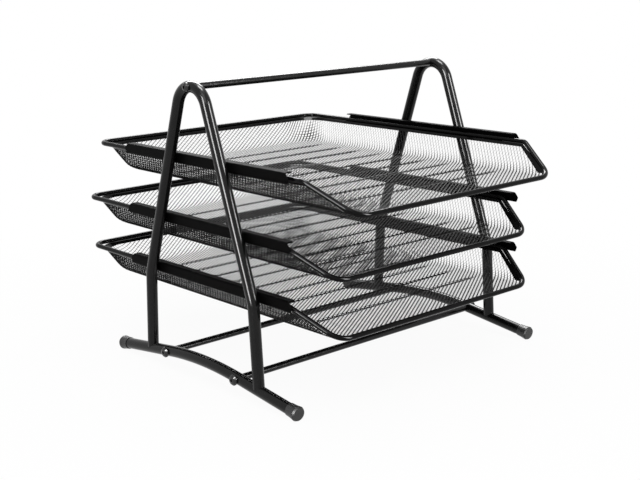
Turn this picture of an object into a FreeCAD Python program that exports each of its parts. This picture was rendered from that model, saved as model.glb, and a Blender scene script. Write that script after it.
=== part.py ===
"""Letter tray stack: a bent-tube stand with three mesh trays that slide in channel rails.

Millimetres. +X is the right side, -Y the front of the trays, +Z up. The stand rests on Z = 0, and
the origin is the middle of the stack's plan on that surface.
"""
import FreeCAD, Part
import math
import os
import re

import Sketcher

from FreeCAD import Placement, Rotation, Vector

doc = FreeCAD.newDocument("letter_tray_stack")
dims = doc.addObject("Spreadsheet::Sheet", "Dims")

SIZES = (
    ("tube_radius", 5.0, "outer radius of the frame and foot tubes"),
    ("tube_wall", 1.0, "wall of the frame and foot tubes"),
    ("apex_height", 256.6, "centre line of the tube at the top of a side frame"),
    ("apex_bend_radius", 20.5, "centre line radius of the top bend"),
    ("leg_foot_reach", 77.0, "leg to the middle of the stand where it meets the foot tube"),
    ("leg_lean", 3.0, "degrees that the lower leg leans inwards"),
    ("leg_bend_height", 81.6, "where the lower leg's straight run ends"),
    ("leg_bend_radius", 28.0, "centre line radius of the leg bend"),
    ("leg_end_lift", 1.5, "leg's end above the foot tube's centre line, inside the coped joint"),
    ("foot_reach", 127.0, "middle of the stand to the tip of a foot cap"),
    ("foot_slope", 7.4, "degrees that the foot tube's straight ends fall outwards"),
    ("foot_arch_radius", 380.0, "centre line radius of the arched middle stretch"),
    ("cap_length", 11.0, "foot cap, along the tube"),
    ("cap_mouth_radius", 5.5, "foot cap's open end"),
    ("cap_foot_radius", 6.4, "foot cap's wide end, which stands on the table"),
    ("cap_end_wall", 3.0, "solid end of a foot cap"),
    ("cap_edge_bevel", 0.8, "bevel round the cap's end"),
    ("rod_radius", 3.0, "handle rod and cross bars"),
    ("cross_bar_reach", 50.0, "cross bar to the middle of the stand"),
    ("screw_radius", 2.0, "shank of every screw"),
    ("screw_slack", 0.1, "radial room round a shank in the tubes"),
    ("thread_slack", 0.05, "radial room round a shank in the rods"),
    ("screw_grip", 9.0, "length of shank inside a rod"),
    ("rod_bore_depth", 12.0, "tapped hole in the end of a rod"),
    ("bar_screw_head_radius", 4.8, "button head on the foot tube"),
    ("handle_screw_head_radius", 3.9, "button head on the side frame"),
    ("screw_head_height", 2.8, "button head"),
    ("screw_socket_width", 2.5, "across the flats of the socket"),
    ("screw_socket_depth", 1.5, "depth of the socket"),
    ("rail_height", 9.5, "outside height of a channel rail"),
    ("rail_depth", 7.2, "outside depth of a channel rail"),
    ("rail_wall", 1.0, "sheet of a channel rail"),
    ("rail_corner_radius", 1.9, "outside bend of a channel rail"),
    ("rail_reach", 114.0, "tip of a rail to the middle of the stand"),
    ("rail_tip_height", 4.5, "tip of a rail above its lower edge"),
    ("rail_top_cut", 3.8, "upper edge short of the tip at each end"),
    ("rail_toe_cut", 1.5, "lower edge short of the tip at each end"),
    ("rail_notch", 15.5, "lower flange short of a rail's front tip, where the rim turns down"),
    ("rail_bottom_low", 85.3, "lower rail's underside"),
    ("rail_bottom_mid", 133.0, "middle rail's underside"),
    ("rail_bottom_top", 188.3, "upper rail's underside"),
    ("rim_radius", 2.2, "tray rim wire"),
    ("rim_half_width", 134.0, "rim wire's centre line to the middle plane"),
    ("rim_side_gap", 2.8, "rim wire to the web of the rail it runs in"),
    ("rim_lift", 0.3, "rim wire above the rail's lower flange"),
    ("rim_back_corner", 13.0, "centre line radius of the rim's back corners"),
    ("rim_front_corner", 17.0, "centre line radius of the rim's front corners"),
    ("rim_slope_bend", 10.0, "centre line radius where the side rim turns down"),
    ("tray_length", 337.0, "back rim to front rim, on centre lines"),
    ("tray_slope_run", 42.0, "length of the sloping front, seen from above"),
    ("tray_depth", 24.0, "rim down to the floor, on centre lines"),
    ("tray_flare", 18.0, "lean of the side and back walls over the tray's depth"),
    ("mesh_tuck", 1.0, "wall's middle inside the rim wire's centre line"),
    ("mesh_seat", 1.6, "top of the wall below the rim wire's centre line"),
    ("mesh_wall", 1.0, "mesh sheet"),
    ("rim_seat_gap", 0.3, "mesh and hem to the surface of the rim wire they are welded to"),
    ("mesh_floor_radius", 5.0, "bend between floor and walls"),
    ("mesh_back_corner", 30.0, "plan radius of the mesh at the back corners, inside the rim's own"),
    ("mesh_bar", 4.0, "sheet left between two openings"),
    ("hem_skin", 0.6, "folded strip on each face of the mesh's edge"),
    ("hem_height", 2.4, "folded strip below the top of the mesh"),
    ("stop_gap", 2.0, "rim's bend in front of the lower flanges when a tray is fully home"),
    ("pull_low", 2.0, "lower tray, forward of its home position"),
    ("pull_mid", 0.0, "middle tray, forward of its home position"),
    ("pull_top", 24.5, "upper tray, forward of its home position"),
)
for row, (alias, value, note) in enumerate(SIZES, start=1):
    dims.set(f"A{row}", alias)
    dims.set(f"B{row}", str(value))
    dims.setAlias(f"B{row}", alias)
    dims.set(f"C{row}", note)
doc.recompute()

ALIASES = {alias for alias, _, _ in SIZES}
SIDES = (("left", -1), ("right", 1))
ENDS = (("front", -1), ("back", 1))
LEVELS = (("bottom", "low"), ("middle", "mid"), ("top", "top"))
REACH = 20.0  # how far a cutting tool runs past what it cuts
NEAR = 0.01  # an edge this near a plane lies on it
CELLS = 12  # openings across the floor and along it, which stand for the fine mesh

# The stand is as wide as its trays need: the rim wire, its side play, the rail's web and the tube.
RAIL_FACE = "(rim_half_width + rim_radius + rim_side_gap + rail_wall)"
FRAME_HALF_WIDTH = f"({RAIL_FACE} + tube_radius)"

subparts = []


def size(alias):
    """A driving dimension, read from the sheet."""
    return float(dims.get(alias))


def tied(formula):
    """The formula with the sheet's name before each alias."""
    return re.sub(r"[a-z_]+", lambda m: f"Dims.{m[0]}" if m[0] in ALIASES else m[0], formula)


def number(formula):
    """A formula of driving dimensions worked out as a number."""
    result = dims.evalExpression(tied(formula))
    return float(getattr(result, "Value", result))


def bind(obj, **formulas):
    """Tie an object's properties to formulas of driving dimensions."""
    for name, formula in formulas.items():
        obj.setExpression(name, tied(formula))
    return obj


def keep(obj, label, placement=None):
    """Name a finished sub-part and put it in its place."""
    obj.Label = label
    if placement is not None:
        obj.Placement = placement
    subparts.append(obj)
    return obj


# ---------------------------------------------------------------- sketches and bodies


def new_body(name):
    return doc.addObject("PartDesign::Body", name)


def sketch_on(body, role, name):
    """A sketch on one of the body's own origin planes."""
    sketch = body.newObject("Sketcher::SketchObject", name)
    plane = next(f for f in body.Origin.OriginFeatures if f.Role == role)
    sketch.AttachmentSupport = [(plane, "")]
    sketch.MapMode = "FlatFace"
    return sketch


def constrain(sketch, formula, *constraint):
    """Add a dimension and tie it to a formula."""
    index = sketch.addConstraint(Sketcher.Constraint(*constraint, number(formula)))
    sketch.setExpression(f"Constraints[{index}]", tied(formula))


def pin(sketch, geometry, end, across, up):
    """Hold a point at a place given by two formulas; "0" keeps it on that axis."""
    for formula, kind, axis in ((across, "DistanceX", -2), (up, "DistanceY", -1)):
        if formula == "0":
            sketch.addConstraint(Sketcher.Constraint("PointOnObject", geometry, end, axis))
        else:
            constrain(sketch, formula, kind, -1, 1, geometry, end)


def outline(sketch, corners):
    """A closed polygon whose corners are (across, up) pairs of formulas."""
    points = [Vector(number(across), number(up), 0) for across, up in corners]
    count = len(points)
    for i in range(count):
        sketch.addGeometry(Part.LineSegment(points[i], points[(i + 1) % count]), False)
    for i in range(count):
        sketch.addConstraint(Sketcher.Constraint("Coincident", i, 2, (i + 1) % count, 1))
    for i, (across, up) in enumerate(corners):
        pin(sketch, i, 1, across, up)


def circle(sketch, across, up, radius):
    """A circle whose centre and radius are formulas."""
    shape = Part.Circle(Vector(number(across), number(up), 0), Vector(0, 0, 1), number(radius))
    index = sketch.addGeometry(shape, False)
    constrain(sketch, radius, "Radius", index)
    if (across, up) == ("0", "0"):
        sketch.addConstraint(Sketcher.Constraint("Coincident", index, 3, -1, 1))
    else:
        pin(sketch, index, 3, across, up)


def turned(name, corners):
    """A body turned about the X axis from a profile in the XZ plane."""
    body = new_body(name)
    profile = sketch_on(body, "XZ_Plane", f"{name}_profile")
    outline(profile, corners)
    feature = body.newObject("PartDesign::Revolution", f"{name}_turning")
    feature.Profile = profile
    feature.ReferenceAxis = (profile, ["H_Axis"])
    feature.Angle = 360.0
    return body


def pocket_through(body, name, role, draw, depth=None):
    """Cut a drawn outline both ways from an origin plane, right through or to a total depth."""
    sketch = sketch_on(body, role, f"{name}_outline")
    draw(sketch)
    pocket = body.newObject("PartDesign::Pocket", name)
    pocket.Profile = sketch
    pocket.Midplane = True
    if depth is None:
        pocket.Type = "ThroughAll"
    else:
        bind(pocket, Length=depth)
    return pocket


def bent_tube(body, path):
    """Sweep the round tube's wall along a path sketch."""
    section = body.newObject("Sketcher::SketchObject", f"{path.Name}_section")
    section.AttachmentSupport = [(path, "Edge1")]
    section.MapMode = "NormalToEdge"
    section.MapPathParameter = 0
    circle(section, "0", "0", "tube_radius")
    circle(section, "0", "0", "tube_radius - tube_wall")
    doc.recompute()
    pipe = body.newObject("PartDesign::AdditivePipe", f"{path.Name}_tube")
    pipe.Profile = section
    pipe.Spine = (path, [f"Edge{i + 1}" for i in range(len(path.Shape.Edges))])
    pipe.Transition = "Transformed"


def tangent_chain(sketch, runs):
    """Draw runs end to end, each tangent to the one before it."""
    for run in runs:
        sketch.addGeometry(run, False)
    for i in range(len(runs) - 1):
        sketch.addConstraint(Sketcher.Constraint("Tangent", i, 2, i + 1, 1))


def arc_between(centre, start, end):
    """An anticlockwise arc."""
    ray = start - centre
    ring = Part.Circle(centre, Vector(0, 0, 1), ray.Length)
    first = math.atan2(ray.y, ray.x)
    last = math.atan2(end.y - centre.y, end.x - centre.x)
    return Part.ArcOfCircle(ring, first, last if last > first else last + 2 * math.pi)


# ---------------------------------------------------------------- stand


# The foot tube's centre line: a straight fall at each end and an arc between them. Each cap stands
# on the widest ring of its foot, half way along its solid end, which sets the height of the rest.
FALL = "foot_slope * 1deg"
TUBE_END = f"(foot_reach - cap_end_wall * cos({FALL}))"
TUBE_END_HEIGHT = f"(cap_foot_radius * cos({FALL}) + cap_end_wall / 2 * sin({FALL}))"
ARCH_END = f"(foot_arch_radius * sin({FALL}))"
ARCH_END_HEIGHT = f"({TUBE_END_HEIGHT} + ({TUBE_END} - {ARCH_END}) * tan({FALL}))"
ARCH_CENTRE = f"({ARCH_END_HEIGHT} - foot_arch_radius * cos({FALL}))"


def foot_slope():
    return math.radians(size("foot_slope"))


def foot_tube_height(reach):
    """Centre line of the foot tube at a distance from the middle of the stand."""
    if reach < number(ARCH_END):
        return number(ARCH_CENTRE) + math.sqrt(size("foot_arch_radius") ** 2 - reach**2)
    return number(TUBE_END_HEIGHT) + (number(TUBE_END) - reach) * math.tan(foot_slope())


def foot_tube(label, placement):
    """Arched tube along Y under one side frame, holed for the cross bars' screws."""
    body = new_body(label)
    path = sketch_on(body, "YZ_Plane", f"{label}_path")
    slope = foot_slope()
    centre = Vector(0, number(ARCH_CENTRE), 0)
    end = Vector(number(TUBE_END), number(TUBE_END_HEIGHT), 0)
    joint = centre + Vector(math.sin(slope), math.cos(slope), 0) * size("foot_arch_radius")
    mirror = Vector(-joint.x, joint.y, 0)
    far_end = Vector(-end.x, end.y, 0)
    arch = arc_between(centre, joint, mirror)
    tangent_chain(path, [Part.LineSegment(end, joint), arch, Part.LineSegment(mirror, far_end)])
    pin(path, 0, 1, TUBE_END, TUBE_END_HEIGHT)
    pin(path, 2, 2, f"0 - {TUBE_END}", TUBE_END_HEIGHT)
    constrain(path, "foot_arch_radius", "Radius", 1)
    pin(path, 1, 3, "0", ARCH_CENTRE)
    bent_tube(body, path)
    height = foot_tube_height(size("cross_bar_reach"))
    for end_name, way in ENDS:
        tool = body.newObject("PartDesign::SubtractiveCylinder", f"{label}_{end_name}_hole")
        bind(tool, Radius="screw_radius + screw_slack", Height="4 * tube_radius")
        spot = Vector(-2 * size("tube_radius"), way * size("cross_bar_reach"), height)
        tool.Placement = Placement(spot, Rotation(Vector(0, 1, 0), 90))
    return keep(body, label, placement)


# A leg ends inside the coped joint, just over the centre line of the foot tube's straight end.
LEG_SEAT = f"({TUBE_END_HEIGHT} + ({TUBE_END} - leg_foot_reach) * tan({FALL}))"
LEG_END = f"({LEG_SEAT} + leg_end_lift)"
LEG_DRAW_IN = f"((leg_bend_height - {LEG_END}) * tan(leg_lean * 1deg))"


def frame_runs():
    """One side frame's centre line, from the back leg's end over the top to the front leg's end."""
    lean = math.radians(size("leg_lean"))
    start = Vector(size("leg_foot_reach"), number(LEG_END), 0)
    bend_start = Vector(start.x - number(LEG_DRAW_IN), size("leg_bend_height"), 0)
    bend_radius = size("leg_bend_radius")
    bend_centre = bend_start - Vector(math.cos(lean), math.sin(lean), 0) * bend_radius
    apex_radius = size("apex_bend_radius")
    apex_centre = Vector(0, size("apex_height") - apex_radius, 0)
    between = apex_centre - bend_centre
    gain = apex_radius - bend_radius
    heading = math.atan2(between.y, between.x) - math.asin(gain / between.Length)
    outward = Vector(math.sin(heading), -math.cos(heading), 0)
    bend_end = bend_centre + outward * bend_radius
    apex_start = apex_centre + outward * apex_radius

    def across(point):
        return Vector(-point.x, point.y, 0)

    return [
        Part.LineSegment(start, bend_start),
        arc_between(bend_centre, bend_start, bend_end),
        Part.LineSegment(bend_end, apex_start),
        arc_between(apex_centre, apex_start, across(apex_start)),
        Part.LineSegment(across(apex_start), across(bend_end)),
        arc_between(across(bend_centre), across(bend_end), across(bend_start)),
        Part.LineSegment(across(bend_start), across(start)),
    ]


def outwards(way):
    """Direction of a foot tube's straight end, to the front or to the back."""
    return Vector(0, way * math.cos(foot_slope()), -math.sin(foot_slope()))


def side_frame(label, placement):
    """A-shaped tube, coped over its foot tube and holed at the top for the handle's screw."""
    body = new_body(label)
    path = sketch_on(body, "YZ_Plane", f"{label}_path")
    runs = frame_runs()
    tangent_chain(path, runs)
    for index, foot, knee, reach in ((0, 1, 2, "leg_foot_reach"), (6, 2, 1, "0 - leg_foot_reach")):
        pin(path, index, foot, reach, LEG_END)
        pin(path, index, knee, f"{reach} * (1 - {LEG_DRAW_IN} / leg_foot_reach)", "leg_bend_height")
    for index in (1, 5):
        constrain(path, "leg_bend_radius", "Radius", index)
    constrain(path, "apex_bend_radius", "Radius", 3)
    pin(path, 3, 3, "0", "apex_height - apex_bend_radius")
    bent_tube(body, path)
    for end_name, way in ENDS:
        cope = body.newObject("PartDesign::SubtractiveCylinder", f"{label}_{end_name}_cope")
        bind(cope, Radius="tube_radius", Height="8 * tube_radius")
        direction = outwards(way)
        centre = Vector(0, way * size("leg_foot_reach"), number(LEG_SEAT))
        cope.Placement = Placement(centre - direction * 4 * size("tube_radius"),
                                   Rotation(Vector(0, 0, 1), direction))
    hole = body.newObject("PartDesign::SubtractiveCylinder", f"{label}_hole")
    bind(hole, Radius="screw_radius + screw_slack", Height="4 * tube_radius")
    spot = Vector(-2 * size("tube_radius"), 0, size("apex_height"))
    hole.Placement = Placement(spot, Rotation(Vector(0, 1, 0), 90))
    return keep(body, label, placement)


def rod(label, placement):
    """Round bar between the two sides, with a tapped blind hole in each end."""
    half = RAIL_FACE
    bore = "(screw_radius + thread_slack)"
    depth = "rod_bore_depth"
    corners = [
        (f"0 - {half}", "rod_radius"), (f"0 - {half}", bore),
        (f"{depth} - {half}", bore), (f"{depth} - {half}", "0"),
        (f"{half} - {depth}", "0"), (f"{half} - {depth}", bore),
        (half, bore), (half, "rod_radius"),
    ]
    return keep(turned(label, corners), label, placement)


# A foot cap widens slowly from its mouth to this share of its depth, by this share of its flare.
CAP_WAIST = 0.6
CAP_WAIST_FLARE = 0.3


def foot_cap(label, placement):
    """Flared plastic cap on the end of a foot tube; its axis is X with the open end at zero."""
    depth = "(cap_length - cap_end_wall)"
    lip = "(cap_length - cap_end_wall / 2)"
    corners = [
        ("0", "tube_radius"), (depth, "tube_radius"), (depth, "0"), ("cap_length", "0"),
        ("cap_length", "cap_foot_radius - cap_edge_bevel"), (lip, "cap_foot_radius"),
        (f"{depth} * {CAP_WAIST}",
         f"cap_mouth_radius + {CAP_WAIST_FLARE} * (cap_foot_radius - cap_mouth_radius)"),
        ("0", "cap_mouth_radius"),
    ]
    return keep(turned(label, corners), label, placement)


# The button head's outline above its seat: (share of its height, share of its radius).
BUTTON_HEAD = ((0.4, 1.0), (0.85, 0.75), (1.0, 0.45))


def screw(name, head_radius, placement):
    """Button-head screw along X: the head's seat is at zero and the shank points to +X."""
    shank = "(2 * tube_radius + screw_grip)"
    corners = [
        ("0 - screw_head_height", "0"), (shank, "0"), (shank, "screw_radius"), ("0", "screw_radius"),
        ("0", head_radius),
    ]
    for rise, spread in BUTTON_HEAD:
        corners.append((f"0 - {rise} * screw_head_height", f"{spread} * {head_radius}"))
    body = turned(name, corners)
    socket = body.newObject("PartDesign::SubtractivePrism", f"{name}_socket")
    socket.Polygon = 6
    bind(socket, Circumradius="screw_socket_width / sqrt(3)", Height="screw_socket_depth")
    socket.Placement = Placement(Vector(-size("screw_head_height"), 0, 0), Rotation(Vector(0, 1, 0), 90))
    body.Placement = placement
    return body


def screw_group(label, bodies):
    """Identical screws, kept as one group of separate solids."""
    group = doc.addObject("Part::Compound", label)
    group.Links = bodies
    return keep(group, label)


def rail(label, side, underside):
    """C-shaped channel on the legs' inner side, its lower flange cut back in front for the rim's bend."""
    body = new_body(label)
    profile = sketch_on(body, "YZ_Plane", f"{label}_side_view")
    top_reach = "(rail_reach - rail_top_cut)"
    toe_reach = "(rail_reach - rail_toe_cut)"
    corners = [
        (f"0 - {toe_reach}", "0"), (toe_reach, "0"), ("rail_reach", "rail_tip_height"),
        (top_reach, "rail_height"), (f"0 - {top_reach}", "rail_height"),
        ("0 - rail_reach", "rail_tip_height"),
    ]
    outline(profile, corners)
    pad = body.newObject("PartDesign::Pad", f"{label}_block")
    pad.Profile = profile
    bind(pad, Length="rail_depth")
    doc.recompute()
    back_edges = long_edges(pad.Shape, size("rail_depth"))
    fillet = body.newObject("PartDesign::Fillet", f"{label}_bends")
    fillet.Base = (pad, back_edges)
    bind(fillet, Radius="rail_corner_radius")

    inner = "(rail_depth - rail_wall)"

    def channel(sketch):
        outline(sketch, [("0 - rail_wall", "rail_wall"), (inner, "rail_wall"),
                         (inner, "rail_height - rail_wall"), ("0 - rail_wall", "rail_height - rail_wall")])

    def front_notch(sketch):
        tip, flange_end = ("(rail_reach + rail_wall)", "(rail_reach - rail_notch)")
        if side > 0:
            tip, flange_end = f"0 - {tip}", f"0 - {flange_end}"
        outline(sketch, [("0 - rail_wall", tip), (inner, tip),
                         (inner, flange_end), ("0 - rail_wall", flange_end)])

    pocket_through(body, f"{label}_channel", "XZ_Plane", channel)
    pocket_through(body, f"{label}_notch", "XY_Plane", front_notch, "4 * rail_wall")
    web = number(RAIL_FACE)
    turn = Rotation(Vector(0, 0, 1), 180 if side < 0 else 0)
    place = Placement(Vector(side * (web - size("rail_depth")), stand_y(), underside), turn)
    return keep(body, label, place)


def long_edges(shape, across):
    """The two long edges on the face at X = across."""
    names = []
    for index, edge in enumerate(shape.Edges, start=1):
        middle = edge.CenterOfMass
        if abs(middle.x - across) < NEAR and abs(middle.y) < NEAR:
            names.append(f"Edge{index}")
    return names


# ---------------------------------------------------------------- trays


def home_back():
    """Back rim of a tray that is fully home, from the middle of the stand."""
    straight = size("tray_length") - size("tray_slope_run")
    return straight - size("rail_reach") + size("rail_notch") - size("stop_gap")


def stand_y():
    """The stand stands this far from the origin, which is the middle of the stack's plan."""
    back = home_back() - min(size("pull_low"), size("pull_mid"), size("pull_top"))
    front = home_back() - size("tray_length") - max(size("pull_low"), size("pull_mid"), size("pull_top"))
    return -(back + front) / 2


def rounded_path(points, radii):
    """A closed wire through the points, each corner rounded by a tangent arc."""
    count = len(points)
    starts, arcs = [], []
    for i in range(count):
        before = (points[i - 1] - points[i]).normalize()
        after = (points[(i + 1) % count] - points[i]).normalize()
        turn = math.pi - before.getAngle(after)
        cut = radii[i] * math.tan(turn / 2)
        centre = points[i] + (before + after).normalize() * (radii[i] / math.cos(turn / 2))
        middle = centre + (points[i] - centre).normalize() * radii[i]
        starts.append(points[i] + before * cut)
        arcs.append(Part.Arc(starts[i], middle, points[i] + after * cut))
    edges = []
    for i in range(count):
        edges.append(arcs[i].toShape())
        edges.append(Part.LineSegment(arcs[i].EndPoint, starts[(i + 1) % count]).toShape())
    return edges


def rim_corners():
    """The rim's corners round the tray, with the radius of each; the back rim is at Y = 0."""
    wide = size("rim_half_width")
    narrow = wide - size("tray_flare")
    bend = size("tray_slope_run") - size("tray_length")
    front = -size("tray_length")
    low = -size("tray_depth")
    half = [
        (Vector(wide, 0, 0), size("rim_back_corner")),
        (Vector(wide, bend, 0), size("rim_slope_bend")),
        (Vector(narrow, front, low), size("rim_front_corner")),
    ]
    mirror = [(Vector(-point.x, point.y, point.z), radius) for point, radius in reversed(half)]
    return half + mirror


def rim_wire(name, radius):
    """Closed wire round the tray's edge. It leaves one plane at the front, so no sketch holds it."""
    corners = rim_corners()
    edges = rounded_path([point for point, _ in corners], [bend for _, bend in corners])
    pieces = []
    for edge in edges:
        start = edge.valueAt(edge.FirstParameter)
        heading = edge.tangentAt(edge.FirstParameter)
        section = Part.Wire(Part.makeCircle(radius, start, heading))
        pieces.append(Part.Wire(edge).makePipeShell([section], True, False))
    feature = doc.addObject("Part::Feature", name)
    feature.Shape = pieces[0].multiFuse(pieces[1:]).removeSplitter()
    return feature


def box(name, x_low, x_high, y_low, y_high, z_low, z_high):
    """A box between two formulas along each axis."""
    solid = doc.addObject("Part::Box", name)
    bind(solid, Length=f"({x_high}) - ({x_low})", Width=f"({y_high}) - ({y_low})",
         Height=f"({z_high}) - ({z_low})")
    for axis, low in zip("xyz", (x_low, y_low, z_low)):
        solid.setExpression(f"Placement.Base.{axis}", tied(low))
    return solid


def boolean(kind, name, base, tool):
    result = doc.addObject(f"Part::{kind}", name)
    result.Base = base
    result.Tool = tool
    return result


def flared_solid(name, grow, front, top):
    """The tray's inside, grown by a thickness on each wall, with its back and floor bends rounded."""
    floor_half = f"(rim_half_width - mesh_tuck - tray_flare + {grow})"
    lean = f"(tray_flare * (1 + ({top}) / tray_depth))"
    back = f"(mesh_tuck + tray_flare - {grow})"
    solid = doc.addObject("Part::Wedge", name)
    bind(solid, Ymin=f"0 - tray_depth - {grow}", Ymax=top,
         Xmin=f"0 - {floor_half}", Xmax=floor_half, Zmin=back, Zmax=front,
         X2min=f"0 - {floor_half} - {lean}", X2max=f"{floor_half} + {lean}",
         Z2min=f"{back} - {lean}", Z2max=front)
    solid.Placement = Placement(Vector(), Rotation(Vector(1, 0, 0), 90))
    doc.recompute()
    rounded = doc.addObject("Part::Fillet", f"{name}_rounded")
    rounded.Base = solid
    corner = size("mesh_back_corner") + number(grow)
    floor_bend = size("mesh_floor_radius") + number(grow)
    rounded.Edges = flared_edges(solid.Shape, corner, floor_bend)
    return rounded


def flared_edges(shape, corner, floor_bend):
    """The two upright back edges and the side and back edges of the floor, each with its radius."""
    box_low = shape.BoundBox.ZMin
    box_high = shape.BoundBox.ZMax
    front = shape.BoundBox.YMin
    chosen = []
    for index, edge in enumerate(shape.Edges, start=1):
        middle = edge.CenterOfMass
        if abs(middle.y - front) < NEAR:
            continue
        if abs(middle.z - box_low) < NEAR:
            chosen.append((index, floor_bend, floor_bend))
        elif abs(middle.z - box_high) > NEAR:
            chosen.append((index, corner, corner))
    return chosen


def under_rim(name, drop, front_back, front_top):
    """Everything below the rim's line by a drop, down the slope and inside its front corners."""
    bend = "(tray_slope_run - tray_length)"
    side = "(rim_half_width + rim_radius)"
    rear = box(f"{name}_rear", f"0 - {side} - {REACH}", f"{side} + {REACH}", bend,
               f"{REACH}", f"0 - tray_depth - {REACH}", f"0 - {drop}")
    slope = doc.addObject("Part::Wedge", f"{name}_slope")
    narrow = "(rim_half_width - tray_flare)"
    bind(slope, Ymin=f"{front_back} - tray_length", Ymax=bend,
         Xmin=f"0 - {narrow}", Xmax=narrow, Zmin=f"0 - tray_depth - {REACH}",
         Zmax=f"0 - tray_depth + {front_top}",
         X2min=f"0 - {side} - {REACH}", X2max=f"{side} + {REACH}", Z2min=f"0 - tray_depth - {REACH}",
         Z2max=f"0 - {drop}")
    doc.recompute()
    rounded = doc.addObject("Part::Fillet", f"{name}_corners")
    rounded.Base = slope
    radius = size("rim_front_corner")
    front = slope.Shape.BoundBox.YMin
    rounded.Edges = [(i, radius, radius) for i, edge in enumerate(slope.Shape.Edges, start=1)
                     if abs(edge.CenterOfMass.y - front) < NEAR and abs(edge.CenterOfMass.x) > NEAR
                     and abs(edge.tangentAt(edge.FirstParameter).z) > 0.9]
    return boolean("Fuse", name, rear, rounded)


def mesh_shell(name, grow):
    """A sheet folded to the tray's floor, sides and back, open at the top and front."""
    above = "2 * rim_radius"
    outer = flared_solid(f"{name}_outer", grow, "tray_length", above)
    inner = flared_solid(f"{name}_inner", f"(0 - {grow})", f"tray_length + {REACH}", f"{above} + {REACH}")
    return boolean("Cut", name, outer, inner)


def slats(name, axis, low, high, make):
    """Boxes side by side along an axis, as many as there are cells, with a bar's width between them."""
    pitch = f"(({high}) - ({low})) / {CELLS}"
    boxes = []
    for i in range(CELLS):
        start = f"{low} + {i} * {pitch} + mesh_bar / 2"
        boxes.append(make(f"{name}_{axis}{i + 1}", start, f"{start} + {pitch} - mesh_bar"))
    group = doc.addObject("Part::Compound", name)
    group.Links = boxes
    return group


def mesh_openings():
    """The openings of a tray's floor, sides and back: a plain grid below the hem."""
    side = f"(rim_half_width + {REACH})"
    floor_half = "(rim_half_width - mesh_tuck - tray_flare - mesh_floor_radius / 2)"
    floor_back = "(0 - mesh_tuck - tray_flare - mesh_floor_radius / 2)"
    front = "(0 - tray_length)"
    under = f"(0 - tray_depth - {REACH})"
    floor_top = "(0 - tray_depth + mesh_wall)"
    wall_low = "(0 - tray_depth + mesh_bar)"

    def column(name, start, end):
        return box(name, start, end, front, REACH, under, "0")

    def row(name, start, end):
        return box(name, f"0 - {side}", side, start, end, under, "0")

    columns = slats("mesh_columns", "x", f"0 - {floor_half}", floor_half, column)
    rows = slats("mesh_rows", "y", front, floor_back, row)
    floor_slab = box("mesh_floor_slab", f"0 - {floor_half}", floor_half, front, floor_back, under, floor_top)
    side_slab = box("mesh_side_slab", f"0 - {side}", side, front, floor_back, wall_low, "0")
    back_slab = box("mesh_back_slab", f"0 - {floor_half}", floor_half, floor_back, REACH, wall_low, "0")
    floor_rows = boolean("Common", "mesh_floor_rows", rows, floor_slab)
    cells = doc.addObject("Part::Compound", "mesh_cells")
    cells.Links = [
        boolean("Common", "mesh_floor_cells", floor_rows, columns),
        boolean("Common", "mesh_side_cells", rows, side_slab),
        boolean("Common", "mesh_back_cells", columns, back_slab),
    ]
    drop = "(mesh_seat + hem_height + mesh_wall)"
    below = under_rim("mesh_cell_limit", drop, "(rim_radius + mesh_bar)", "mesh_wall")
    return boolean("Common", "mesh_openings", cells, below)


def tray(label, placement, openings):
    """One tray: mesh pan, folded hem on its walls' edges and rim wire. The floor meets the wire bare."""
    half_wall = "mesh_wall / 2"
    limit = under_rim(f"{label}_limit", "mesh_seat", "rim_radius", half_wall)
    shell = mesh_shell(f"{label}_shell", f"({half_wall})")
    seat = rim_wire(f"{label}_seat", size("rim_radius") + size("rim_seat_gap"))
    sheet = boolean("Common", f"{label}_sheet", shell, limit)
    whole = boolean("Cut", f"{label}_whole_sheet", sheet, seat)
    keep(boolean("Cut", f"{label}_mesh_pan", whole, openings), f"{label}_mesh_pan", placement)
    thick = mesh_shell(f"{label}_thick", f"({half_wall} + hem_skin)")
    skins = boolean("Cut", f"{label}_skins", thick, mesh_shell(f"{label}_core", f"({half_wall})"))
    band_limit = under_rim(f"{label}_band", "mesh_seat", "rim_radius", f"({half_wall} + hem_skin)")
    below = under_rim(f"{label}_below", "(mesh_seat + hem_height)", "(rim_radius + hem_height)",
                      f"(0 - hem_height)")
    floor = box(f"{label}_below_floor", "0 - rim_half_width", "rim_half_width",
                f"0 - tray_length - {REACH}", "0",
                f"0 - tray_depth - {REACH}", f"0 - tray_depth + {half_wall} + 2 * hem_skin")
    inside = boolean("Fuse", f"{label}_inside", below, floor)
    band = boolean("Cut", f"{label}_band_only", band_limit, inside)
    strips = boolean("Common", f"{label}_strips", skins, band)
    hem = boolean("Cut", f"{label}_hem", strips, seat)
    keep(hem, f"{label}_hem", placement)
    keep(rim_wire(f"{label}_rim", size("rim_radius")), f"{label}_rim", placement)


# ---------------------------------------------------------------- assembly


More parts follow.
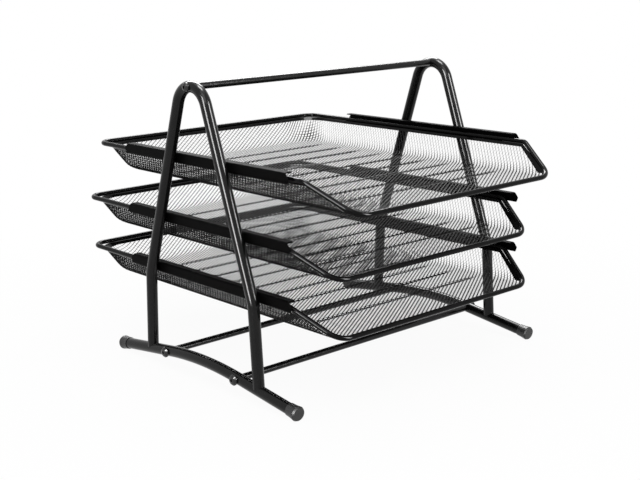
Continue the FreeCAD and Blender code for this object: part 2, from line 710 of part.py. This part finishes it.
def build_stand():
    y = stand_y()
    half_width = number(FRAME_HALF_WIDTH)
    outer_face = half_width + size("tube_radius")
    for side_name, side in SIDES:
        at_side = Placement(Vector(side * half_width, y, 0), Rotation())
        side_frame(f"side_frame_{side_name}", at_side)
        foot_tube(f"foot_tube_{side_name}", at_side)
        for end_name, way in ENDS:
            tube_end = Vector(side * half_width, y + way * number(TUBE_END), number(TUBE_END_HEIGHT))
            mouth = tube_end - outwards(way) * (size("cap_length") - size("cap_end_wall"))
            facing = Rotation(Vector(1, 0, 0), outwards(way))
            foot_cap(f"foot_cap_{end_name}_{side_name}", Placement(mouth, facing))
        for level, key in LEVELS:
            rail(f"rail_{level}_{side_name}", side, size(f"rail_bottom_{key}"))
    handle_spot = Vector(0, y, size("apex_height"))
    rod("handle_rod", Placement(handle_spot, Rotation()))
    bar_height = foot_tube_height(size("cross_bar_reach"))
    for end_name, way in ENDS:
        spot = Vector(0, y + way * size("cross_bar_reach"), bar_height)
        rod(f"cross_bar_{end_name}", Placement(spot, Rotation()))
    handle_screws, bar_screws = [], []
    for side_name, side in SIDES:
        facing = Rotation(Vector(0, 0, 1), 0 if side < 0 else 180)
        spot = Vector(side * outer_face, y, size("apex_height"))
        name = f"handle_screw_{side_name}"
        handle_screws.append(screw(name, "handle_screw_head_radius", Placement(spot, facing)))
        for end_name, way in ENDS:
            spot = Vector(side * outer_face, y + way * size("cross_bar_reach"), bar_height)
            name = f"cross_bar_screw_{end_name}_{side_name}"
            bar_screws.append(screw(name, "bar_screw_head_radius", Placement(spot, facing)))
    screw_group("handle_screws", handle_screws)
    screw_group("cross_bar_screws", bar_screws)


def build_trays():
    openings = mesh_openings()
    for level, key in LEVELS:
        back = stand_y() + home_back() - size(f"pull_{key}")
        flange = size(f"rail_bottom_{key}") + size("rail_wall")
        height = flange + size("rim_lift") + size("rim_radius")
        tray(f"tray_{level}", Placement(Vector(0, back, height), Rotation()), openings)


def check_and_export():
    """Stop on any failed object or bad shape, then write one STEP file for each sub-part."""
    doc.recompute()
    for obj in doc.Objects:
        if {"Invalid", "Error"} & set(obj.State):
            raise RuntimeError(f"{obj.Name} failed: {obj.State}")
    for obj in subparts:
        if obj.Shape.isNull() or not obj.Shape.isValid() or not obj.Shape.Solids:
            raise RuntimeError(f"{obj.Label} has no valid solid")
    os.makedirs("parts", exist_ok=True)
    for obj in subparts:
        obj.Shape.exportStep(f"parts/{obj.Label}.step")


build_stand()
build_trays()
check_and_export()
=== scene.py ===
"""Looks of the letter tray stack: black enamelled tube and wire, expanded steel mesh, plastic foot caps.

Metres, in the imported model's frame: +X right, -Y front, +Z up, standing on Z = 0.
"""

import math

import bpy
import numpy as np
from mathutils import Matrix, Vector

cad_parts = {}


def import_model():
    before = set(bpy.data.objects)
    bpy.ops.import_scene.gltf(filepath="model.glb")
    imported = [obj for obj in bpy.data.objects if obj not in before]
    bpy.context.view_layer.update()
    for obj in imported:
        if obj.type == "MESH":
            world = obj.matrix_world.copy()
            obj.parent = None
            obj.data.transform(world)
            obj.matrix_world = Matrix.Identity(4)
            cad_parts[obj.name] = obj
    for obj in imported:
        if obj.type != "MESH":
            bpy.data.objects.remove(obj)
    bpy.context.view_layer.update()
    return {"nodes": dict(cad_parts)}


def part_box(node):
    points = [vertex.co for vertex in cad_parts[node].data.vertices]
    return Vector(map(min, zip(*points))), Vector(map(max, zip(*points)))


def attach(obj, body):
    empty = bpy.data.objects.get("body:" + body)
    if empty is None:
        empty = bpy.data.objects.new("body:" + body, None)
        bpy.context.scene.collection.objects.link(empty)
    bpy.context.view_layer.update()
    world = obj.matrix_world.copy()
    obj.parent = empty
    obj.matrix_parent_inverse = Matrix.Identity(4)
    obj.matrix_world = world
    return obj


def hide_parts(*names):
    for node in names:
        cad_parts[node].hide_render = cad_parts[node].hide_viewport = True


MM = 0.001

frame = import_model()

LEVELS = ("bottom", "middle", "top")
SIDES = ("left", "right")
ENDS = ("front", "back")

# Tray shapes that a box can't give; the rest is measured on the frame's nodes.
RIM_RADIUS = 2.2 * MM
FLARE = 18.0 * MM        # rim's narrowing on each side down the sloping front
TUCK = 1.0 * MM          # wall's middle inside the rim wire's centre line
SLOPE_RUN = 42.0 * MM    # sloping front, seen from above
BACK_CORNER = 13.0 * MM
MESH_CORNER = 24.0 * MM  # level outline of the mesh at the back corners
FRONT_CORNER = 17.0 * MM
SLOPE_BEND = 10.0 * MM
FLOOR_BEND = 12.0 * MM
WALL_SLOPE = math.radians(61)  # straight part of the walls, from level
WALL_TOP = 1.6 * MM            # top of the wall below the rim wire's centre line

# Expanded steel mesh: diamonds with their long way across the tray. Its flat strands are tilted,
# with their back edges on the outside of the tray.
LONG_WAY = 5.4 * MM
SHORT_WAY = 3.6 * MM
FLOOR_STRAND = 1.25 * MM
WALL_STRAND = 0.85 * MM      # stretched where the walls were drawn up
STRAND_THICKNESS = 0.1 * MM
FLOOR_TILT = math.radians(9)
SIDE_TILT = math.radians(47)
BACK_TILT = math.radians(58)
RIB_TILT = math.radians(-55)  # added where a rib is pressed

# Shallow grooves pressed across the floor.
RIB_COUNT = 9
RIB_DEPTH = 0.9 * MM
RIB_HALF_WIDTH = 3.3 * MM
RIB_SIDE_MARGIN = 14.0 * MM

# Camera: a pinhole that looks at the object from its front left corner.
CAMERA_PLACE = Vector((-0.70028, -0.79452, 0.35425))
CAMERA_AZIMUTH = math.radians(-41.618)
CAMERA_ELEVATION = math.radians(13.523)
CAMERA_ROLL = math.radians(-1.017)
CAMERA_LENS = 65.04
SENSOR_WIDTH = 36.0

# Paints: noise per metre of the object for colour and gloss, the part of the noise's range that is
# used, and the strength of the uneven skin.
COLOUR_NOISE = 60.0
GLOSS_NOISE = 220.0
NOISE_LOW = 0.3
NOISE_HIGH = 0.7
SKIN_STRENGTH = 0.2

# Room: grey light all round, and paper that fades from a faint shadow to plain white.
ROOM_LIGHT = 0.45
PAPER_GREY = 0.9
PAPER_HALF = 6.0
NEAR_WHITE = 0.95   # share of plain white within NEAR_REACH of the middle
NEAR_REACH = 0.25
FAR_REACH = 0.6     # plain white from here on
STUDIO_CENTRE = (0.0, 0.0, 0.13)


# ---------------------------------------------------------------- materials


class Nodes:
    """A material's node tree, with short calls to add and join nodes."""

    def __init__(self, name):
        self.material = bpy.data.materials.new(name)
        self.material.use_nodes = True
        self.tree = self.material.node_tree
        self.tree.nodes.clear()
        self.output = self.add("ShaderNodeOutputMaterial")

    def add(self, kind, **values):
        node = self.tree.nodes.new(kind)
        for name, value in values.items():
            setattr(node, name, value)
        return node

    def join(self, source, target):
        self.tree.links.new(source, target)

    def noise(self, scale, detail=2.0):
        """Noise that follows the object's own place, the same in every view and pose."""
        where = self.add("ShaderNodeTexCoord")
        noise = self.add("ShaderNodeTexNoise")
        noise.inputs["Scale"].default_value = scale
        noise.inputs["Detail"].default_value = detail
        self.join(where.outputs["Object"], noise.inputs["Vector"])
        return noise.outputs["Fac"]

    def spread(self, fac, low, high):
        """A noise spread over a range of values."""
        remap = self.add("ShaderNodeMapRange")
        remap.inputs["From Min"].default_value = NOISE_LOW
        remap.inputs["From Max"].default_value = NOISE_HIGH
        remap.inputs["To Min"].default_value = low
        remap.inputs["To Max"].default_value = high
        self.join(fac, remap.inputs["Value"])
        return remap.outputs["Result"]

    def tint(self, fac, dark, light):
        """A grey between two levels that follows a noise."""
        ramp = self.add("ShaderNodeValToRGB")
        stops = ((NOISE_LOW, dark), (NOISE_HIGH, light))
        for stop, (position, grey) in zip(ramp.color_ramp.elements, stops):
            stop.position = position
            stop.color = (grey, grey, grey, 1.0)
        self.join(fac, ramp.inputs["Fac"])
        return ramp.outputs["Color"]

    def bump(self, height, strength, distance):
        bump = self.add("ShaderNodeBump")
        bump.inputs["Strength"].default_value = strength
        bump.inputs["Distance"].default_value = distance
        self.join(height, bump.inputs["Height"])
        return bump.outputs["Normal"]


def coated(name, dark, light, roughness, skin, skin_depth, specular):
    """A dark coat with slight changes of colour and gloss, and a fine uneven skin."""
    nodes = Nodes(name)
    shader = nodes.add("ShaderNodeBsdfPrincipled")
    nodes.join(shader.outputs["BSDF"], nodes.output.inputs["Surface"])
    broad = nodes.noise(COLOUR_NOISE, detail=3.0)
    nodes.join(nodes.tint(broad, dark, light), shader.inputs["Base Color"])
    nodes.join(nodes.spread(nodes.noise(GLOSS_NOISE), *roughness), shader.inputs["Roughness"])
    nodes.join(nodes.bump(nodes.noise(skin), SKIN_STRENGTH, skin_depth), shader.inputs["Normal"])
    shader.inputs["Specular IOR Level"].default_value = specular
    return nodes.material


ENAMEL = coated("enamel", dark=0.003, light=0.005, roughness=(0.14, 0.2),
                skin=500.0, skin_depth=0.02 * MM, specular=0.2)
RAIL_PAINT = coated("rail_paint", dark=0.001, light=0.002, roughness=(0.36, 0.46),
                    skin=700.0, skin_depth=0.03 * MM, specular=0.02)
RIM_PAINT = coated("rim_paint", dark=0.002, light=0.004, roughness=(0.08, 0.12),
                   skin=500.0, skin_depth=0.01 * MM, specular=0.08)
MESH_PAINT = coated("mesh_paint", dark=0.006, light=0.011, roughness=(0.36, 0.46),
                    skin=900.0, skin_depth=0.02 * MM, specular=0.05)
SCREW_PAINT = coated("screw_black", dark=0.006, light=0.012, roughness=(0.14, 0.2),
                     skin=800.0, skin_depth=0.01 * MM, specular=0.4)
CAP_PLASTIC = coated("cap_plastic", dark=0.008, light=0.014, roughness=(0.34, 0.44),
                     skin=1100.0, skin_depth=0.04 * MM, specular=0.4)


def paint(node, material):
    """Give a CAD node's object one material."""
    mesh = frame["nodes"][node].data
    mesh.materials.clear()
    mesh.materials.append(material)


def paint_nodes():
    """Give every CAD node its paint or plastic."""
    for side in SIDES:
        paint(f"side_frame_{side}", ENAMEL)
        paint(f"foot_tube_{side}", ENAMEL)
        for end in ENDS:
            paint(f"foot_cap_{end}_{side}", CAP_PLASTIC)
        for level in LEVELS:
            paint(f"rail_{level}_{side}", RAIL_PAINT)
    paint("handle_rod", ENAMEL)
    for end in ENDS:
        paint(f"cross_bar_{end}", ENAMEL)
    for node in ("handle_screws", "cross_bar_screws"):
        paint(node, SCREW_PAINT)
    for level in LEVELS:
        paint(f"tray_{level}_rim", RIM_PAINT)
        paint(f"tray_{level}_hem", RIM_PAINT)
        paint(f"tray_{level}_mesh_pan", MESH_PAINT)


# ---------------------------------------------------------------- trays


class Tray:
    """A tray's main sizes, read from its rim wire. The back rim's centre line is at y = 0, z = 0."""

    def __init__(self, level):
        low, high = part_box(f"tray_{level}_rim")
        self.half_width = high.x - RIM_RADIUS
        self.length = high.y - low.y - 2 * RIM_RADIUS
        self.depth = high.z - low.z - 2 * RIM_RADIUS
        self.place = Vector((0.0, high.y - RIM_RADIUS, high.z - RIM_RADIUS))
        bend_rise = FLOOR_BEND * (1 - math.cos(WALL_SLOPE))
        inset = FLOOR_BEND * math.sin(WALL_SLOPE) + (self.depth - bend_rise) / math.tan(WALL_SLOPE)
        self.floor_half = self.half_width - TUCK - inset
        self.floor_back = -(TUCK + inset)

    def profile(self, reach):
        """Outward and upward travel at a distance up the wall from where the floor starts to bend."""
        arc = FLOOR_BEND * WALL_SLOPE
        turn = np.clip(reach, 0.0, arc) / FLOOR_BEND
        rest = np.clip(reach - arc, 0.0, None)
        out = FLOOR_BEND * np.sin(turn) + rest * math.cos(WALL_SLOPE)
        up = FLOOR_BEND * (1 - np.cos(turn)) + rest * math.sin(WALL_SLOPE)
        return out, up

    def fold(self, x, y):
        """Place on the pan of a point on the flat sheet, whose back floor corners are rounded."""
        side = np.sign(x)
        corner = MESH_CORNER
        centre_x, centre_y = self.floor_half - corner, self.floor_back - corner
        past_side, past_back = np.abs(x) - self.floor_half, y - self.floor_back
        over_x, over_y = np.abs(x) - centre_x, y - centre_y
        in_corner = (over_x > 0) & (over_y > 0)
        reach = np.where(in_corner, np.hypot(over_x, over_y) - corner, np.maximum(past_side, past_back))
        out, up = self.profile(np.clip(reach, 0.0, None))
        # Beside the corners a wall goes straight out from the floor's edge.
        flat_x = np.clip(np.abs(x), None, self.floor_half) + np.where(past_side > 0, out, 0.0)
        flat_y = np.clip(y, None, self.floor_back) + np.where(past_back > 0, out, 0.0)
        # Round a corner, a level's outline runs straight, then along the arc, then straight again.
        radius = np.where(reach > 0, corner, corner + np.clip(reach, -corner, 0.0))
        arc = radius * math.pi / 2
        along = np.arctan2(over_y, over_x) / (math.pi / 2) * (2 * out + arc)
        turned = np.clip((along - out) / np.maximum(radius, 1e-9), 0.0, math.pi / 2)
        before = np.clip(along, 0.0, out) - out
        after = np.clip(along - out - arc, 0.0, out)
        corner_x = centre_x + out + radius * np.cos(turned) - after
        corner_y = centre_y + out + radius * np.sin(turned) + before
        place_x = np.where(in_corner, corner_x, flat_x)
        place_y = np.where(in_corner, corner_y, flat_y)
        height = up - self.depth - RIB_DEPTH * self.rib(x, y)
        return np.stack([side * place_x, place_y, height], axis=-1)

    def rib(self, x, y):
        """Share, 0 to 1, of the grooves pressed across the floor."""
        front = -self.length + SLOPE_RUN / 2
        pitch = (self.floor_back - front) / (RIB_COUNT + 1)
        nearest = np.abs((y - front + pitch / 2) % pitch - pitch / 2)
        inside = (y > front + pitch / 2) & (y < self.floor_back - pitch / 2)
        wave = 0.5 * (1 + np.cos(np.pi * np.clip(nearest / RIB_HALF_WIDTH, 0.0, 1.0)))
        side_room = self.floor_half - RIB_SIDE_MARGIN - np.abs(x)
        fade = np.clip(side_room / RIB_SIDE_MARGIN + 0.5, 0.0, 1.0)
        return wave * fade * inside

    def strands(self, x, y):
        """Width of the strands and their turn out of the sheet, on the floor, in a rib and up the walls."""
        up_side = np.clip((np.abs(x) - self.floor_half) / (FLOOR_BEND * WALL_SLOPE), 0.0, 1.0)
        up_back = np.clip((y - self.floor_back) / (FLOOR_BEND * WALL_SLOPE), 0.0, 1.0)
        up = np.maximum(up_side, up_back)
        width = FLOOR_STRAND + (WALL_STRAND - FLOOR_STRAND) * up
        wall_tilt = np.where(up_back > up_side, BACK_TILT, SIDE_TILT)
        return width, FLOOR_TILT + (wall_tilt - FLOOR_TILT) * up + RIB_TILT * self.rib(x, y)

    def rim_path(self, steps=8):
        """The rim wire's centre line as points, each corner rounded by an arc."""
        wide, narrow = self.half_width, self.half_width - FLARE
        bend, front = SLOPE_RUN - self.length, -self.length
        half = [(Vector((wide, 0, 0)), BACK_CORNER), (Vector((wide, bend, 0)), SLOPE_BEND),
                (Vector((narrow, front, -self.depth)), FRONT_CORNER)]
        corners = half + [(Vector((-p.x, p.y, p.z)), radius) for p, radius in reversed(half)]
        points = []
        for i, (corner, radius) in enumerate(corners):
            before = (corners[i - 1][0] - corner).normalized()
            after = (corners[(i + 1) % len(corners)][0] - corner).normalized()
            turn = math.pi - before.angle(after)
            centre = corner + (before + after).normalized() * radius / math.cos(turn / 2)
            start = corner + before * radius * math.tan(turn / 2) - centre
            axis = before.cross(after).normalized()
            for k in range(steps + 1):
                points.append(centre + Matrix.Rotation(-turn * k / steps, 3, axis) @ start)
        return points

    def wall_limit(self, y):
        """Height of the mesh's upper edge: level along the sides, then down the slope."""
        share = np.clip((y - (SLOPE_RUN - self.length)) / -SLOPE_RUN, 0.0, 1.0)
        return -WALL_TOP - share * (self.depth - WALL_TOP)


def inside_outline(x, y, outline):
    """Which plan points lie inside a closed outline."""
    count = np.zeros(np.shape(x), int)
    for i, end in enumerate(outline):
        start = outline[i - 1]
        spans = (start.y > y) != (end.y > y)
        rise = end.y - start.y if abs(end.y - start.y) > 1e-12 else 1e-12
        cross = start.x + (y - start.y) * (end.x - start.x) / rise
        count += spans & (x < cross)
    return count % 2 == 1


class Sheet:
    """The crossings of a tray's mesh, folded to the pan's shape. They sit where i + j is even."""

    DIFFERENCE = 0.05 * MM  # step for the sheet's directions

    def __init__(self, tray):
        step_x, step_y = LONG_WAY / 2, SHORT_WAY / 2
        wall = FLOOR_BEND * WALL_SLOPE + tray.depth / math.sin(WALL_SLOPE)
        count_x = int((tray.floor_half + wall) / step_x) + 2
        low_y = int(-tray.length / step_y) - 2
        high_y = int((tray.floor_back + wall) / step_y) + 2
        columns, rows = np.arange(-count_x, count_x + 1), np.arange(low_y, high_y + 1)
        i, j = np.meshgrid(columns, rows, indexing="ij")
        x, y = i * step_x, j * step_y
        self.place = tray.fold(x, y)
        along_x = tray.fold(x + self.DIFFERENCE, y) - self.place
        self.along_y = tray.fold(x, y + self.DIFFERENCE) - self.place
        normal = np.cross(along_x, self.along_y)
        self.normal = normal / np.maximum(np.linalg.norm(normal, axis=-1, keepdims=True), 1e-15)
        self.width, self.tilt = (value[..., None] for value in tray.strands(x, y))
        kept = inside_outline(self.place[..., 0], self.place[..., 1], tray.rim_path())
        kept &= self.place[..., 2] < tray.wall_limit(self.place[..., 1])
        self.kept = kept & ((i + j) % 2 == 0)

    def section(self, at, chosen, way):
        """The four corners of the strands' flat sections at one end."""
        up = self.normal[at][chosen]
        across = np.cross(up, way)
        across /= np.linalg.norm(across, axis=-1, keepdims=True)
        across *= np.sign(np.sum(across * self.along_y[at][chosen], axis=-1, keepdims=True))
        turn = self.tilt[at][chosen]
        wide = (np.cos(turn) * across - np.sin(turn) * up) * self.width[at][chosen] / 2
        thick = (np.sin(turn) * across + np.cos(turn) * up) * STRAND_THICKNESS / 2
        middle = self.place[at][chosen]
        return [middle + wide + thick, middle - wide + thick, middle - wide - thick, middle + wide - thick]


def lattice(tray):
    """Points and faces of the tray's mesh: two flat strands from each crossing to the next ones up."""
    sheet = Sheet(tray)
    points, faces = [], []
    total = 0
    up_right = (np.s_[:-1, :-1], np.s_[1:, 1:])
    up_left = (np.s_[1:, :-1], np.s_[:-1, 1:])
    for near, far in (up_right, up_left):
        chosen = sheet.kept[near] & sheet.kept[far]
        way = sheet.place[far][chosen] - sheet.place[near][chosen]
        points += sheet.section(near, chosen, way) + sheet.section(far, chosen, way)
        count = len(way)
        index = total + np.arange(count)
        for k in range(4):
            after = (k + 1) % 4
            corners = (k, after, 4 + after, 4 + k)
            faces.append(np.stack([index + corner * count for corner in corners], axis=-1))
        total += 8 * count
    return np.concatenate(points), np.concatenate(faces)


def tray_mesh(level):
    """A tray's expanded mesh, which takes the place of the plain pan and rides on the tray."""
    tray = Tray(level)
    points, faces = lattice(tray)
    mesh = bpy.data.meshes.new(f"tray_{level}_mesh")
    mesh.from_pydata((points + np.array(tray.place)).tolist(), [], faces.tolist())
    mesh.materials.append(MESH_PAINT)
    mesh.polygons.foreach_set("use_smooth", [False] * len(mesh.polygons))
    piece = bpy.data.objects.new(f"tray_{level}_mesh", mesh)
    bpy.context.scene.collection.objects.link(piece)
    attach(piece, f"tray_{level}")
    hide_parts(f"tray_{level}_mesh_pan")


# ---------------------------------------------------------------- room


def camera():
    data = bpy.data.cameras.new("camera")
    data.lens = CAMERA_LENS
    data.sensor_width = SENSOR_WIDTH
    data.clip_start, data.clip_end = 0.01, 50.0
    eye = bpy.data.objects.new("camera", data)
    bpy.context.scene.collection.objects.link(eye)
    flat = math.cos(CAMERA_ELEVATION)
    back = Vector((math.sin(CAMERA_AZIMUTH) * flat, -math.cos(CAMERA_AZIMUTH) * flat,
                   math.sin(CAMERA_ELEVATION)))
    level = (-back).cross(Vector((0, 0, 1))).normalized()
    upright = level.cross(-back)
    right = level * math.cos(CAMERA_ROLL) + upright * math.sin(CAMERA_ROLL)
    up = upright * math.cos(CAMERA_ROLL) - level * math.sin(CAMERA_ROLL)
    turn = Matrix((right, up, back)).transposed().to_4x4()
    eye.matrix_world = Matrix.Translation(CAMERA_PLACE) @ turn
    bpy.context.scene.camera = eye


def lamp(name, place, width, height, power, only_reflected=False):
    """A rectangular softbox facing the object; one that is only reflected adds highlights alone."""
    data = bpy.data.lights.new(name, "AREA")
    data.shape = "RECTANGLE"
    data.size, data.size_y, data.energy = width, height, power
    light = bpy.data.objects.new(name, data)
    bpy.context.scene.collection.objects.link(light)
    light.location = place
    aim = Vector(STUDIO_CENTRE) - Vector(place)
    light.rotation_euler = aim.to_track_quat("-Z", "Y").to_euler()
    light.visible_diffuse = not only_reflected


def seen_rays(tree):
    """1 for what the camera sees directly, in a gloss or through glass, and 0 for other rays."""
    rays = tree.nodes.new("ShaderNodeLightPath")
    share = rays.outputs["Is Camera Ray"]
    for name in ("Is Glossy Ray", "Is Transmission Ray"):
        total = tree.nodes.new("ShaderNodeMath")
        total.operation = "MAXIMUM"
        tree.links.new(share, total.inputs[0])
        tree.links.new(rays.outputs[name], total.inputs[1])
        share = total.outputs["Value"]
    return share


def backdrop_material():
    """White paper that keeps faint shadows near the object and shows plain white further out."""
    nodes = Nodes("white_paper")
    paper = nodes.add("ShaderNodeBsdfDiffuse")
    paper.inputs["Color"].default_value = (PAPER_GREY, PAPER_GREY, PAPER_GREY, 1.0)
    glow = nodes.add("ShaderNodeEmission")
    glow.inputs["Color"].default_value = (1.0, 1.0, 1.0, 1.0)
    glow.inputs["Strength"].default_value = 1.0
    where = nodes.add("ShaderNodeTexCoord")
    distance = nodes.add("ShaderNodeVectorMath", operation="LENGTH")
    nodes.join(where.outputs["Object"], distance.inputs[0])
    white = nodes.add("ShaderNodeMapRange")
    fade = {"From Min": NEAR_REACH, "From Max": FAR_REACH, "To Min": NEAR_WHITE, "To Max": 1.0}
    for name, value in fade.items():
        white.inputs[name].default_value = value
    nodes.join(distance.outputs["Value"], white.inputs["Value"])
    share = nodes.add("ShaderNodeMath", operation="MULTIPLY")
    nodes.join(seen_rays(nodes.tree), share.inputs[0])
    nodes.join(white.outputs["Result"], share.inputs[1])
    mix = nodes.add("ShaderNodeMixShader")
    nodes.join(share.outputs["Value"], mix.inputs["Fac"])
    nodes.join(paper.outputs["BSDF"], mix.inputs[1])
    nodes.join(glow.outputs["Emission"], mix.inputs[2])
    nodes.join(mix.outputs["Shader"], nodes.output.inputs["Surface"])
    return nodes.material


def floor():
    half = PAPER_HALF
    corners = [(-half, -half, 0), (half, -half, 0), (half, half, 0), (-half, half, 0)]
    mesh = bpy.data.meshes.new("floor")
    mesh.from_pydata(corners, [], [(0, 1, 2, 3)])
    mesh.materials.append(backdrop_material())
    ground = bpy.data.objects.new("floor", mesh)
    bpy.context.scene.collection.objects.link(ground)


def world():
    """White behind everything that is seen, and a soft grey room for the light."""
    world = bpy.data.worlds.new("room")
    bpy.context.scene.world = world
    world.use_nodes = True
    tree = world.node_tree
    tree.nodes.clear()
    output = tree.nodes.new("ShaderNodeOutputWorld")
    seen = tree.nodes.new("ShaderNodeBackground")
    seen.inputs["Color"].default_value = (1, 1, 1, 1)
    seen.inputs["Strength"].default_value = 1.0
    room = tree.nodes.new("ShaderNodeBackground")
    room.inputs["Color"].default_value = (1, 1, 1, 1)
    room.inputs["Strength"].default_value = ROOM_LIGHT
    mix = tree.nodes.new("ShaderNodeMixShader")
    tree.links.new(seen_rays(tree), mix.inputs["Fac"])
    tree.links.new(room.outputs["Background"], mix.inputs[1])
    tree.links.new(seen.outputs["Background"], mix.inputs[2])
    tree.links.new(mix.outputs["Shader"], output.inputs["Surface"])


def studio():
    """Two large softboxes for the light, and four that only show as highlights on the tubes."""
    lamp("key", (-0.9, -0.9, 1.6), 1.2, 1.2, 16.0)
    lamp("fill", (0.2, 0.2, 1.9), 1.6, 1.6, 12.0)
    lamp("strip_left", (-1.57, -0.38, 0.62), 0.5, 1.2, 80.0, only_reflected=True)
    lamp("strip_right", (0.60, -1.55, 0.68), 0.5, 1.2, 80.0, only_reflected=True)
    lamp("box_top", (0.1, 0.05, 1.7), 0.6, 0.6, 30.0, only_reflected=True)
    lamp("box_back", (0.75, 1.15, 1.3), 1.3, 0.6, 45.0, only_reflected=True)


def main():
    camera()
    floor()
    world()
    studio()
    paint_nodes()
    for level in LEVELS:
        tray_mesh(level)
    bpy.context.scene.view_settings.view_transform = "Standard"


main()
